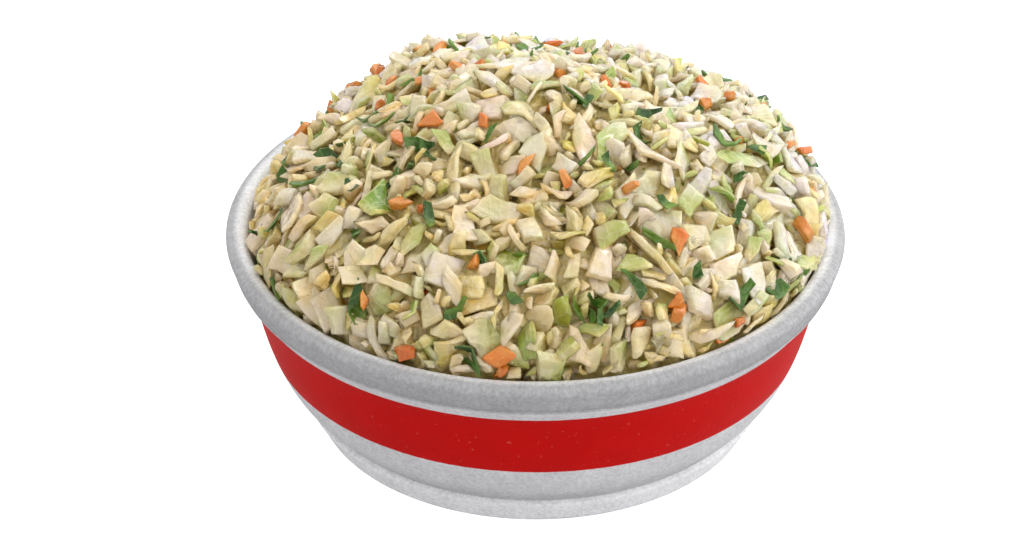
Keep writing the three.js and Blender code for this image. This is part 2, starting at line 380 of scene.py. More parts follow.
# Gives the flat points (x, y, z) of a cut its wedge, waves, crumple, ruffle, bow, sag, twist and curl.
def bent(cut, points):
    x, y, z = points[:, 0], points[:, 1], points[:, 2]
    curl = cut["curl"]
    z = z * (1 + cut["wedge"][0] * x + cut["wedge"][1] * y)
    z = z + cut["sag"] * y * y + cut["twist"] * x * y
    z = z + cut["wave"] * np.sin(cut["waveWay"][0] * x + cut["waveWay"][1] * y + cut["waveStart"])
    z = z + cut["crumple"] * np.sin(cut["crumpleWay"][0] * x + cut["crumpleWay"][1] * y)
    z = z + cut["ruffle"] * (x * x + y * y) * np.sin(cut["ruffles"] * np.arctan2(y, x) + cut["waveStart"])
    y = y + cut["bow"] * x * x
    sine, cosine = np.sin(x * curl), np.cos(x * curl)
    return np.stack([sine / curl - z * sine, y, (1 - cosine) / curl + z * cosine], 1)


def underAndOver(cut):
    step = heap["cell"] * 0.9
    edge = cut["shape"]
    high = np.abs(edge).max(0)
    x, y = np.meshgrid(np.arange(-high[0], high[0] + step, step), np.arange(-high[1], high[1] + step, step))
    x, y = x.ravel(), y.ravel()
    turn = np.arctan2(edge[:, 1], edge[:, 0])
    order = np.argsort(turn)
    edgeFar = np.hypot(edge[:, 0], edge[:, 1])[order]
    limit = np.interp(np.arctan2(y, x), turn[order], edgeFar, period=fullTurn)
    inside = np.hypot(x, y) < limit
    x, y = x[inside], y[inside]
    half = np.full(len(x), cut["thick"] / 2)
    return bent(cut, np.stack([x, y, -half], 1)), bent(cut, np.stack([x, y, half + cut["crown"] * 0.6], 1))


def turnTo(normal, spin, lean, leanWay):
    up = Vector((0, 0, 1))
    stand = up.rotation_difference(Vector(normal)).to_matrix()
    axis = Vector((math.cos(leanWay), math.sin(leanWay), 0))
    return np.array(stand @ Matrix.Rotation(lean, 3, axis) @ Matrix.Rotation(spin, 3, "Z"))


def groundAt(u, v, reach):
    turn = np.arange(8) * math.pi / 4
    us = np.clip(u + np.rint(reach * np.append(np.cos(turn), 0)).astype(int), 0, side - 1)
    vs = np.clip(v + np.rint(reach * np.append(np.sin(turn), 0)).astype(int), 0, side - 1)
    far = level[us, vs]
    points = centre + mapWay[us, vs] * far[:, None]
    return points[far > 1]


def boxMean(values, reach):
    total = np.cumsum(np.cumsum(np.pad(values, reach + 1), 0), 1)
    wide = 2 * reach + 1
    total = total[wide:, wide:] - total[:-wide, wide:] - total[wide:, :-wide] + total[:-wide, :-wide]
    return total[:side, :side] / wide ** 2


laid = {name: [] for name in kinds}


def restOn(under, way, shift):
    for _ in range(2):
        iu, iv, far = cellsOf(under + shift)
        shift = shift - way * np.percentile(far - level[iu, iv], heap["sink"])
    return shift


# What still reaches into the bowl is pressed flat against it.
def pressed(points):
    radius = np.hypot(points[:, 0], points[:, 1])
    keep = np.minimum(1, room(points[:, 2]) / np.maximum(radius, 1))
    return points * np.column_stack([keep, keep, np.ones(len(points))])


def insideBowl(under, over, way, shift):
    for _ in range(4):
        both = np.concatenate([under, over]) + shift
        radius = np.hypot(both[:, 0], both[:, 1])
        excess = radius - room(both[:, 2])
        worst = excess.argmax()
        if excess[worst] <= heap["squeeze"]:
            return shift
        inward = -both[worst, :2] / radius[worst] * (excess[worst] + 0.05)
        shift = restOn(under, way, shift + np.array([*inward, 0]))
    return None


def tryToLay(kind, u, v, high):
    cut = makeCut(kind)
    ground, way = groundAt(u, v, np.clip(cut["long"] / heap["cell"], 2, 7)), mapWay[u, v]
    if len(ground) < 5:
        return None
    middle = ground.mean(0)
    normal = np.linalg.svd(ground - middle)[2][2]
    normal = normal * np.sign(normal @ way) + 0.35 * way
    lean = math.radians(rng.normal() * kind["lean"])
    spin, leanWay = rng.uniform(0, fullTurn), rng.uniform(0, fullTurn)
    turn = turnTo(normal / np.linalg.norm(normal), spin, lean, leanWay)
    under, over = (part @ turn.T + middle for part in underAndOver(cut))
    shift = insideBowl(under, over, way, restOn(under, way, np.zeros(3)))
    if shift is None:
        return None
    iu, iv, far = cellsOf(pressed(over + shift))
    above = far - target[iu, iv]
    if above.max() > heap["proud"] + high * 0.5 or above.mean() > 0.6 + high:
        return None
    np.maximum.at(level, (iu, iv), far)
    return cut, turn, middle + shift


# Lays pieces of the named kinds where the heap is lowest, measured over a reach of cells, until it lacks
# no more than the deficit.
def heapUp(names, reach, deficit, count, power=1, patience=32, high=0.0):
    placed, tries, chance, before = 0, 0, None, 0
    heapShare = np.maximum(boxMean(inHeap.astype(float), reach), 0.2)
    areaOfCell = np.sin(np.maximum(mapTilt, 0.02)) / np.maximum(mapTilt, 0.02)
    while placed < count and tries < 4 * count:
        if tries % 400 == 399:
            if placed - before < patience:
                break
            before = placed
        if tries % 30 == 0:
            lack = boxMean(np.where(inHeap, target - level, 0), reach) / heapShare - deficit
            chance = (np.where(inHeap, np.clip(lack, 0, 6), 0) ** power * areaOfCell).ravel()
            if chance.max() <= 0:
                break
            chance = np.cumsum(chance / chance.sum())
        tries += 1
        spot = np.searchsorted(chance, rng.uniform())
        name = min(names, key=lambda n: (len(laid[n]) + rng.uniform(0, 4)) / kinds[n]["share"])
        piece = tryToLay(kinds[name], spot // side, spot % side, high)
        if piece:
            laid[name].append(piece)
            placed += 1
    print("  laid", placed, "of", tries, "tries")


fine = ["fineShreds", "smallBits"]
heapUp([name for name in kinds if name not in fine], reach=5, deficit=1.0, count=4200)
heapUp(fine, reach=2, deficit=2.7, count=1500, power=2)
heapUp(["darkGreenLeaf", "carrotDice"], reach=4, deficit=0.0, count=110, power=2, patience=12, high=0.6)
skin = boxMean(level, 3)


def hidden(cut, turn, place):
    over = underAndOver(cut)[1] @ turn.T + place
    iu, iv, far = cellsOf(over)
    return (far > level[iu, iv] - heap["seenDepth"]).mean() < heap["seenShare"]


def cutPoints(cut):
    shape, half = cut["shape"], cut["thick"] / 2
    far = np.linalg.norm(shape, axis=1)[:, None]
    edge = min(0.3, 0.3 * cut["thick"])

    def ring(inset, height, below=0, scale=1.0):
        flat = shape * scale * (1 - np.minimum(inset / far, 0.5)) + cut["skew"] * below
        return np.column_stack([flat, np.full(len(flat), height)])

    crown = [ring(0, half + cut["crown"] * up, 0, scale) for scale, up in ((0.42, 1.0), (0.75, 0.7))]
    rings = [*crown, ring(edge, half + cut["crown"] * 0.25), ring(0, half - edge * 0.8),
             ring(0, edge * 0.8 - half, 1, cut["under"]), ring(edge, -half, 1, cut["under"])]
    count = len(shape)
    for inner in rings[:2]:
        inner[:, 2] += rng.normal(0, cut["rough"], count)
    points = np.concatenate([[[0, 0, half + cut["crown"] * 1.1]], *rings, [[0, 0, -half]]])
    onEdge = np.zeros(len(points))
    onEdge[1 + 3 * count:1 + 5 * count] = 1
    return points, onEdge, count


def cutFaces(count, rings, first):
    i = np.arange(count)
    j = (i + 1) % count
    faces = [np.column_stack([np.zeros(count, int), 1 + i, 1 + j])]
    for k in range(rings - 1):
        a, b = 1 + k * count, 1 + (k + 1) * count
        faces += [np.column_stack([a + i, b + i, b + j]), np.column_stack([a + i, b + j, a + j])]
    end = 1 + (rings - 1) * count
    faces.append(np.column_stack([end + j, end + i, np.full(count, end + count)]))
    return np.concatenate(faces) + first


warmer, greener = waveField(9, 13), waveField(9, 8)


def tintOf(kind, points, onEdge, cut):
    palette = kind["palette"]
    first, second = (np.array(c) for c in palette[rng.integers(len(palette))])
    way = rng.normal(size=2)
    way /= np.linalg.norm(way)
    along = points[:, :2] @ way / cut["long"] + rng.uniform(-0.7, 0.7)
    mix = 1 / (1 + np.exp(-along * rng.uniform(2, 6)))
    tint = first * (1 - mix[:, None]) + second * mix[:, None]
    # The cut sides take on their own colour; on the cabbage kinds it is yellower, which is painted shade.
    cutSideShare = onEdge[:, None] * kind["cutSideShare"]
    tint = tint * (1 - cutSideShare) + np.array(kind["cutFaceAndShade"]) * cutSideShare
    brighter = np.exp(rng.normal(0, dressingAndPaintedShade["brightSpread"]))
    return tint * dressingAndPaintedShade["wash"] * brighter * np.exp(rng.normal(0, dressingAndPaintedShade["hueSpread"], 3))


# Yellower and darker in the gaps, which is painted shade with some pooled dressing; warmer and darker
# towards the front left, which is painted shade; greener in patches.
def dressedAndShaded(tint, points):
    iu, iv, far = cellsOf(points)
    depth = np.clip(skin[iu, iv] - far - dressingAndPaintedShade["gapFrom"], 0, dressingAndPaintedShade["gapTo"])
    yellow = dressingAndPaintedShade["yellowPatches"] * np.clip(warmer(points), -1.5, 1.5) + dressingAndPaintedShade["gapYellowAndShade"] * depth
    paintedSideShade = np.clip((points - dressingAndPaintedShade["paintedShadeFrom"]) @ dressingAndPaintedShade["paintedShadeWay"], 0, dressingAndPaintedShade["paintedShadeMost"])
    green = dressingAndPaintedShade["greenPatches"] * np.clip(greener(points) - 0.5, 0, 1)
    lost = -np.outer(yellow, dressingAndPaintedShade["yellows"]) - np.outer(paintedSideShade, dressingAndPaintedShade["paintedShadeLoss"])
    kept = np.exp(lost - dressingAndPaintedShade["gapPaintedShade"] * depth[:, None])
    return np.clip(tint * kept * (1 - np.outer(green, dressingAndPaintedShade["greens"])), 0, 0.96)


def triangleMesh(name, points, faces):
    mesh = bpy.data.meshes.new(name)
    mesh.vertices.add(len(points))
    mesh.vertices.foreach_set("co", (points * mm).astype(np.float32).ravel())
    mesh.loops.add(3 * len(faces))
    mesh.loops.foreach_set("vertex_index", faces.astype(np.int32).ravel())
    mesh.polygons.add(len(faces))
    mesh.polygons.foreach_set("loop_start", np.arange(0, 3 * len(faces), 3, dtype=np.int32))
    mesh.update(calc_edges=True)
    mesh.polygons.foreach_set("use_smooth", np.ones(len(faces), bool))
    piece = bpy.data.objects.new(name, mesh)
    bpy.context.scene.collection.objects.link(piece)
    return piece


# Broad faces lead the shading, so a cut keeps flat sides and soft edges.
def broadNormals(piece, points, faces, crisp):
    a, b, c = (points[faces[:, k]] for k in range(3))
    facing = np.cross(b - a, c - a)
    facing *= np.linalg.norm(facing, axis=1)[:, None] ** crisp
    total = np.zeros_like(points)
    for k in range(3):
        np.add.at(total, faces[:, k], facing)
    total /= np.maximum(np.linalg.norm(total, axis=1), 1e-12)[:, None]
    piece.data.normals_split_custom_set_from_vertices(total)


# Rows of four are a colour, rows of three a vector.
def addAttribute(piece, name, values):
    sort, field = ("FLOAT_COLOR", "color") if values.shape[1] == 4 else ("FLOAT_VECTOR", "vector")
    layer = piece.data.attributes.new(name, sort, "POINT")
    layer.data.foreach_set(field, values.astype(np.float32).ravel())


# The leaves of one cut lie under each other, each a little out of line.
def slipped(points, cut, layer):
    if layer == 0:
        return points
    turn = rng.normal() * 0.12
    moved = points * (1, 1, 0.8)
    moved[:, 0] = points[:, 0] * math.cos(turn) - points[:, 1] * math.sin(turn) + rng.normal() * 0.35
    moved[:, 1] = points[:, 0] * math.sin(turn) + points[:, 1] * math.cos(turn) + rng.normal() * 0.35
    moved[:, 2] -= layer * (cut["thick"] * 0.85 + 0.05) - points[:, 0] * rng.normal() * 0.03
    return moved


def kindPiece(name):
    kind = kinds[name]
    allPoints, allFaces, allTints, allPlaces, first = [], [], [], [], 0
    for cut, turn, place in laid[name]:
        if hidden(cut, turn, place):
            continue
        points, onEdge, count = cutPoints(cut)
        tint = tintOf(kind, points, onEdge, cut)
        for layer in range(cut["layers"]):
            moved = slipped(points, cut, layer)
            settled = pressed(bent(cut, moved) @ turn.T + place)
            # The tint takes on painted shade: darker and yellower in the gaps, warmer towards the front
            # left.
            allTints.append(dressedAndShaded(tint, settled))
            allPlaces.append(points + rng.uniform(-500, 500, 3))
            allFaces.append(cutFaces(count, 6, first))
            allPoints.append(settled)
            first += len(points)
    points, faces = np.concatenate(allPoints), np.concatenate(allFaces)
    piece = triangleMesh(name, points, faces)
    broadNormals(piece, points, faces, kind["crisp"])
    tints = np.concatenate(allTints)
    addAttribute(piece, "tint", np.column_stack([tints, np.ones(len(tints))]))
    addAttribute(piece, "cutPlace", np.concatenate(allPlaces) * mm)
    print("  ", name, len(allPoints), "pieces,", len(faces), "triangles")
    return piece


core = {
    "turns": 420,
    "tilts": 110,
    "wallRings": 12,
    "rimGap": 0.3,
    "wallGap": 0.4,
    "floorGap": 0.5,
    "filmDepth": 1.1,               # of the dressing under the pieces' tops
    "relief": 0.35,                 # share of the pieces' relief that shows in it
    "pitDepth": 3.0,
    "pitShare": 0.9,
    # Darker than the pieces: partly the dressing's own colour, partly painted shade in the gaps.
    "deep": (0.53, 0.42, 0.11),
    "thin": (0.68, 0.54, 0.21),
    "crest": (0.84, 0.74, 0.50),
}


def corePiece():
    turns = core["turns"]
    turn = fullTurn * np.arange(turns) / turns
    filled = np.where(inHeap, level, target - 1.5)
    near, broad = boxMean(filled, 1), boxMean(filled, 4)
    pits = waveField(9, 11)(mapWay * 60)
    pits = 1 / (1 + np.exp(-6 * (pits - core["pitShare"])))
    settled = broad + core["relief"] * (near - broad) - core["filmDepth"] - core["pitDepth"] * pits
    rows = []
    for tilt in np.linspace(0.01, outTilt[0] - 0.01, core["tilts"]):
        way = np.column_stack([math.sin(tilt) * np.cos(turn), math.sin(tilt) * np.sin(turn),
                               np.full(turns, math.cos(tilt))])
        iu, iv, _ = cellsOf(centre + way)
        points = centre + way * settled[iu, iv][:, None]
        radius = np.hypot(points[:, 0], points[:, 1])
        within = room(points[:, 2]) - core["rimGap"]
        points[:, :2] *= np.minimum(1, within / np.maximum(radius, 1))[:, None]
        rows.append(points)
    wall = innerWall(80)
    low = min(rows[-1][:, 2].min(), bowl["lipCentre"][1]) - 1
    bottom = bowl["floorEdge"][1] + core["floorGap"]
    for height in np.linspace(low, bottom, core["wallRings"]):
        radius = np.interp(height, wall[::-1, 1], wall[::-1, 0]) - core["wallGap"]
        rows.append(np.column_stack([radius * np.cos(turn), radius * np.sin(turn), np.full(turns, height)]))
    top = centre + np.array([0, 0, rows[0][:, 2].mean() - heap["centre"]])
    points = np.concatenate([[top], *rows, [[0, 0, bottom]]])
    return triangleMesh("slawCore", points, cutFaces(turns, len(rows), 0))


print("cutting the pieces")
slawPieces = {name: kindPiece(name) for name in kinds}
slawCore = corePiece()

print("mixing the finishes")


def shaderGroup(name, inputs, outputs):
    group = bpy.data.node_groups.new(name, "ShaderNodeTree")
    for label, sort, value in inputs:
        socket = group.interface.new_socket(label, in_out="INPUT", socket_type=sort)
        if value is not None:
            socket.default_value = value
    for label, sort in outputs:
        group.interface.new_socket(label, in_out="OUTPUT", socket_type=sort)
    return group, group.nodes.new("NodeGroupInput"), group.nodes.new("NodeGroupOutput")


# Adds a node with its settings, and links or sets its inputs, by name or as i0, i1 and so on.
def addNode(tree, sort, settings={}, **inputs):
    made = tree.nodes.new(sort)
    for key, value in settings.items():
        setattr(made, key, value)
    for key, value in inputs.items():
        socket = made.inputs[int(key[1:])] if key[0] == "i" and key[1:].isdigit() else made.inputs[key]
        if isinstance(value, bpy.types.NodeSocket):
            tree.links.new(value, socket)
        else:
            socket.default_value = value
    return made


def math2(tree, operation, a, b=0.0):
    return addNode(tree, "ShaderNodeMath", {"operation": operation}, i0=a, i1=b).outputs[0]


def vectorMath(tree, operation, **inputs):
    made = addNode(tree, "ShaderNodeVectorMath", {"operation": operation}, **inputs)
    return made.outputs["Value" if operation == "LENGTH" else "Vector"]


def times(tree, first, *others):
    for other in others:
        first = math2(tree, "MULTIPLY", first, other)
    return first


def mixColour(tree, factor, a, b, blend="MIX"):
    made = tree.nodes.new("ShaderNodeMix")
    made.data_type = "RGBA"
    made.blend_type = blend
    for socket, value in ((made.inputs[0], factor), (made.inputs[6], a), (made.inputs[7], b)):
        if isinstance(value, bpy.types.NodeSocket):
            tree.links.new(value, socket)
        else:
            socket.default_value = value if isinstance(value, (int, float)) else (*value[:3], 1)
    return made.outputs[2]


def rangeOf(tree, value, low, high, toLow=0.0, toHigh=1.0, smooth=True):
    made = addNode(tree, "ShaderNodeMapRange", {"interpolation_type": "SMOOTHSTEP" if smooth else "LINEAR"},
                   i0=value, i1=low, i2=high, i3=toLow, i4=toHigh)
    return made.outputs[0]


def veinGroup():
    group, given, result = shaderGroup("leafVeins", [
        ("Place", "NodeSocketVector", None), ("Spacing", "NodeSocketFloat", 0.0012)],
        [("Veins", "NodeSocketFloat"), ("Net", "NodeSocketFloat"), ("Blotches", "NodeSocketFloat")])
    place = given.outputs["Place"]
    scale = math2(group, "DIVIDE", 1.0, given.outputs["Spacing"])
    lines = addNode(group, "ShaderNodeTexNoise", Scale=scale, Detail=2.0, Roughness=0.55,
                    Distortion=0.3, Vector=vectorMath(group, "MULTIPLY", i0=place, i1=(0.18, 1.0, 0.6)))
    veins = rangeOf(group, lines.outputs["Fac"], 0.5, 0.68)
    bend = addNode(group, "ShaderNodeTexNoise", Vector=place, Scale=times(group, scale, 0.5), Detail=1.0)
    bentPlace = vectorMath(group, "MULTIPLY_ADD", i0=bend.outputs["Color"], i1=(0.002, 0.002, 0.002),
                           i2=place)
    net = addNode(group, "ShaderNodeTexVoronoi", {"feature": "DISTANCE_TO_EDGE"}, Vector=bentPlace,
                  Scale=times(group, scale, 0.5))
    patches = addNode(group, "ShaderNodeTexNoise", Vector=place, Scale=times(group, scale, 0.45), Detail=3.0)
    group.links.new(veins, result.inputs["Veins"])
    group.links.new(rangeOf(group, net.outputs["Distance"], 0.0, 0.09, 1.0, 0.0), result.inputs["Net"])
    group.links.new(patches.outputs["Fac"], result.inputs["Blotches"])
    return group


def wetGroup():
    group, given, result = shaderGroup("wetFilm", [
        ("Place", "NodeSocketVector", None), ("Size", "NodeSocketFloat", 0.006)],
        [("Wet", "NodeSocketFloat"), ("Ripple", "NodeSocketFloat")])
    place = given.outputs["Place"]
    scale = math2(group, "DIVIDE", 1.0, given.outputs["Size"])
    film = addNode(group, "ShaderNodeTexNoise", Vector=place, Scale=scale, Detail=2.0)
    ripple = addNode(group, "ShaderNodeTexNoise", Vector=place, Scale=times(group, scale, 3.0), Detail=1.0)
    group.links.new(rangeOf(group, film.outputs["Fac"], 0.38, 0.62), result.inputs["Wet"])
    group.links.new(ripple.outputs["Fac"], result.inputs["Ripple"])
    return group


leafVeins = veinGroup()
wetFilm = wetGroup()


def newMaterial(name):
    material = bpy.data.materials.new(name)
    material.use_nodes = True
    tree = material.node_tree
    return material, tree, tree.nodes["Principled BSDF"]


def setSockets(shader, values):
    for name, value in values.items():
        shader.inputs[name].default_value = value


def groupNode(tree, group, **inputs):
    made = tree.nodes.new("ShaderNodeGroup")
    made.node_tree = group
    for key, value in inputs.items():
        if isinstance(value, bpy.types.NodeSocket):
            tree.links.new(value, made.inputs[key])
        else:
            made.inputs[key].default_value = value
    return made


# fleshDepth is how far light goes into a piece; roughness is where it is wet and where it is dry.
finishes = {
    "dressedCore": {
        "roughness": (0.25, 0.5),
        "flesh": 0.9, "fleshDepth": 1.6, "specular": 0.5, "coat": 0.6, "bump": 0.7,
    },
    "creamCabbage": {
        "veinSpacing": 1.6, "veinStrength": 0.24, "veinShade": (0.90, 0.86, 0.60),
        "blotch": (0.96, 0.92, 0.74), "blotchStrength": 0.9, "roughness": (0.2, 0.42),
        "flesh": 1.0, "fleshDepth": 2.0, "specular": 0.5, "coat": 0.6, "bump": 0.8,
    },
    "greenLeaf": {
        "veinSpacing": 1.6, "veinStrength": 0.18, "veinShade": (0.36, 0.52, 0.18),
        "blotch": (0.55, 0.75, 0.5), "blotchStrength": 0.5, "roughness": (0.15, 0.35),
        "flesh": 0.2, "fleshDepth": 0.5, "specular": 0.3, "coat": 0.3, "bump": 0.6,
    },
    "carrot": {
        "veinSpacing": 1.1, "veinStrength": 0.25, "veinShade": (0.92, 0.45, 0.12),
        "blotch": (0.95, 0.75, 0.5), "blotchStrength": 0.6, "roughness": (0.18, 0.38),
        "flesh": 0.5, "fleshDepth": 0.6, "specular": 0.5, "coat": 0.6, "bump": 0.5,
    },
}


def wetFlesh(tree, shader, look, wet, height, bumpDepth):
    wetness = rangeOf(tree, wet, 0, 1, look["roughness"][1], look["roughness"][0])
    tree.links.new(wetness, shader.inputs["Roughness"])
    bump = addNode(tree, "ShaderNodeBump", Strength=look["bump"], Distance=bumpDepth * mm, Height=height)
    tree.links.new(bump.outputs["Normal"], shader.inputs["Normal"])
    shader.subsurface_method = "BURLEY"
    setSockets(shader, {"Subsurface Weight": look["flesh"], "Subsurface Scale": look["fleshDepth"] * mm,
                        "Subsurface Radius": (1.0, 0.88, 0.65), "Specular IOR Level": look["specular"],
                        "Coat Weight": look["coat"], "Coat Roughness": 0.12})


def slawMaterial(name):
    material, tree, shader = newMaterial(name)
    look = finishes[name]
    tint = addNode(tree, "ShaderNodeAttribute", {"attribute_name": "tint"}).outputs["Color"]
    place = addNode(tree, "ShaderNodeAttribute", {"attribute_name": "cutPlace"}).outputs["Vector"]
    veins, net, blotches = groupNode(tree, leafVeins, Place=place, Spacing=look["veinSpacing"] * mm).outputs
    wet, ripple = groupNode(tree, wetFilm, Place=place).outputs
    lines = math2(tree, "MAXIMUM", times(tree, veins, 0.6), net)
    veined = mixColour(tree, times(tree, lines, look["veinStrength"]), tint, look["veinShade"])
    patch = rangeOf(tree, blotches, 0.42, 0.62, 0.0, look["blotchStrength"])
    blotched = mixColour(tree, patch, veined, look["blotch"], "MULTIPLY")
    tree.links.new(blotched, shader.inputs["Base Color"])
    netAndRipple = math2(tree, "ADD", times(tree, net, 0.12), times(tree, ripple, 1.5))
    height = math2(tree, "ADD", times(tree, veins, 0.35), netAndRipple)
    wetFlesh(tree, shader, look, wet, height, 0.7)
    return material


# Painted shade and light on the white, by height and radius: the foot lighter, the wall darker towards
# the crease, the lip's side darker, the inner rim lighter and a dark line under the lip's step. With the
# four shades at 1 and the inner rim's gain at 0, it is plain white foam.
foam = {
    "bandWaver": 0.18,
    "bandSoft": (0.10, 0.12),       # how far the band's edge fades into it and out of it
    "outside": (49.5, 50.0),
    "rim": (37.5, 39.2),
    "grain": (0.82, 1.02),
    "clouds": (-0.05, 0.02),
    "rimStreaks": (-0.02, 0.08),
    "footEdge": (5.6, 5.8),
    "footShade": 1.65,
    "wallRise": (5.7, 12.5),
    "wallShade": (0.79, 1.04),
    "lipHeight": (33.0, 34.5),
    "lipRadius": (56.2, 57.4),
    "lipShade": 0.62,
    "innerRim": (55.5, 56.8),
    "innerRimPaintedLight": 0.26,
    "step": 34.3,
    "stepReach": (0.1, 0.5),
    "stepShade": 0.78,
    "speck": (0.78, 0.20, 0.17),
    "speckShare": 0.25,
    "roughness": (0.7, 0.5),        # of the white and the band
}


def foamMaterial():
    material, tree, shader = newMaterial("foamWithBand")
    place = addNode(tree, "ShaderNodeTexCoord").outputs["Object"]
    height = addNode(tree, "ShaderNodeSeparateXYZ", Vector=place).outputs["Z"]
    flat = vectorMath(tree, "MULTIPLY", i0=place, i1=(1, 1, 0))
    radius = vectorMath(tree, "LENGTH", i0=flat)

    def noise(scale, detail, roughness=0.5, along=place):
        made = addNode(tree, "ShaderNodeTexNoise", Vector=along, Scale=scale, Detail=detail,
                       Roughness=roughness)
        return made.outputs["Fac"]

    def zone(value, reach, *shades):
        return rangeOf(tree, value, reach[0] * mm, reach[1] * mm, *shades)

    grain, cloud = noise(1400.0, 3.0, 0.6), noise(160.0, 2.0)
    streaks = noise(70.0, 3.0, 0.7, vectorMath(tree, "NORMALIZE", i0=flat))
    waver = times(tree, math2(tree, "SUBTRACT", noise(500.0, 2.0), 0.5), foam["bandWaver"] * mm)
    edge = math2(tree, "ADD", height, waver)
    fadeIn, fadeOut = foam["bandSoft"]
    above = zone(edge, (bowl["bandLow"] - fadeOut, bowl["bandLow"] + fadeIn))
    below = zone(edge, (bowl["bandHigh"] - fadeIn, bowl["bandHigh"] + fadeOut), 1.0, 0.0)
    band = times(tree, above, below, zone(radius, foam["outside"]))

    onRim = zone(height, foam["rim"])
    shade = math2(tree, "ADD", rangeOf(tree, grain, 0.32, 0.68, *foam["grain"]),
                  rangeOf(tree, cloud, 0.35, 0.65, *foam["clouds"]))
    onRimOnly = times(tree, onRim, rangeOf(tree, streaks, 0.35, 0.65, *foam["rimStreaks"]))
    shade = math2(tree, "ADD", shade, onRimOnly)
    # Painted shade and light by zone: lip side darker, inner rim lighter, foot lighter, wall darker to the
    # crease, dark line under the step.
    lipSide = times(tree, zone(height, foam["lipHeight"]), zone(radius, foam["lipRadius"]))
    innerRim = times(tree, onRim, zone(radius, foam["innerRim"], foam["innerRimPaintedLight"], 0.0))
    fromStep = math2(tree, "ABSOLUTE", math2(tree, "SUBTRACT", height, foam["step"] * mm))
    shade = times(tree, shade, zone(height, foam["footEdge"], foam["footShade"], 1.0),
                  zone(height, foam["wallRise"], *foam["wallShade"]),
                  rangeOf(tree, lipSide, 0, 1, 1.0, foam["lipShade"], False),
                  math2(tree, "ADD", innerRim, 1.0),
                  zone(fromStep, foam["stepReach"], foam["stepShade"], 1.0))
    white = mixColour(tree, 1.0, bowl["white"], shade, "MULTIPLY")
    specks = rangeOf(tree, noise(1100.0, 1.0), 0.7, 0.78, 0.0, foam["speckShare"])
    red = mixColour(tree, specks, bowl["red"], foam["speck"])
    red = mixColour(tree, 1.0, red, rangeOf(tree, cloud, 0.35, 0.65, 0.97, 1.02), "MULTIPLY")
    tree.links.new(mixColour(tree, band, white, red), shader.inputs["Base Color"])
    tree.links.new(rangeOf(tree, band, 0, 1, *foam["roughness"], False), shader.inputs["Roughness"])

    beads = addNode(tree, "ShaderNodeTexVoronoi", {"feature": "DISTANCE_TO_EDGE"}, Vector=place, Scale=750.0)
    seams = rangeOf(tree, beads.outputs["Distance"], 0.0, 0.12)
    relief = math2(tree, "ADD", times(tree, seams, 0.4), times(tree, grain, 0.8))
    relief = math2(tree, "ADD", relief, times(tree, onRim, streaks, 1.5))
    relief = times(tree, relief, rangeOf(tree, band, 0, 1, 1.0, 0.35, False))
    bump = addNode(tree, "ShaderNodeBump", Strength=0.55, Distance=0.0002, Height=relief)
    tree.links.new(bump.outputs["Normal"], shader.inputs["Normal"])
    setSockets(shader, {"Specular IOR Level": 0.06, "Subsurface Weight": 0.1,
                        "Subsurface Radius": (1, 1, 1), "Subsurface Scale": 0.001})
    return material


def coreMaterial():
    material, tree, shader = newMaterial("dressedCore")
    place = addNode(tree, "ShaderNodeTexCoord").outputs["Object"]
    _, net, blotches = groupNode(tree, leafVeins, Place=place, Spacing=0.003).outputs
    wet, ripple = groupNode(tree, wetFilm, Place=place).outputs
    # The dressing's darker tints are partly painted shade in the gaps.
    base = mixColour(tree, rangeOf(tree, blotches, 0.4, 0.6), core["thin"], core["deep"])
    base = mixColour(tree, rangeOf(tree, ripple, 0.55, 0.7, 0, 0.6), base, core["crest"])
    tree.links.new(base, shader.inputs["Base Color"])
    height = math2(tree, "ADD", ripple, times(tree, net, 0.5))
    wetFlesh(tree, shader, finishes["dressedCore"], wet, height, 0.8)
    return material


foamBowl.data.materials.append(foamMaterial())
slawCore.data.materials.append(coreMaterial())
slawMaterials = {name: slawMaterial(name) for name in ("creamCabbage", "greenLeaf", "carrot")}
madeOf = {"darkGreenLeaf": "greenLeaf", "carrotDice": "carrot"}
for name, piece in slawPieces.items():
    piece.data.materials.append(slawMaterials[madeOf.get(name, "creamCabbage")])

print("scattering crumbs")
crumbs = {
    "count": 900,
    "size": (0.28, 0.75),
    "slim": (0.4, 0.9),
    "sink": 0.05,
    "dents": 0.5,
    "dentSize": 1.2,
    "palette": [(0.94, 0.88, 0.74), (0.94, 0.86, 0.68), (0.92, 0.82, 0.56), (0.91, 0.84, 0.62),
                (0.90, 0.80, 0.44), (0.66, 0.68, 0.24), (0.42, 0.56, 0.12), (0.30, 0.46, 0.08),
                (0.88, 0.42, 0.12)],
}


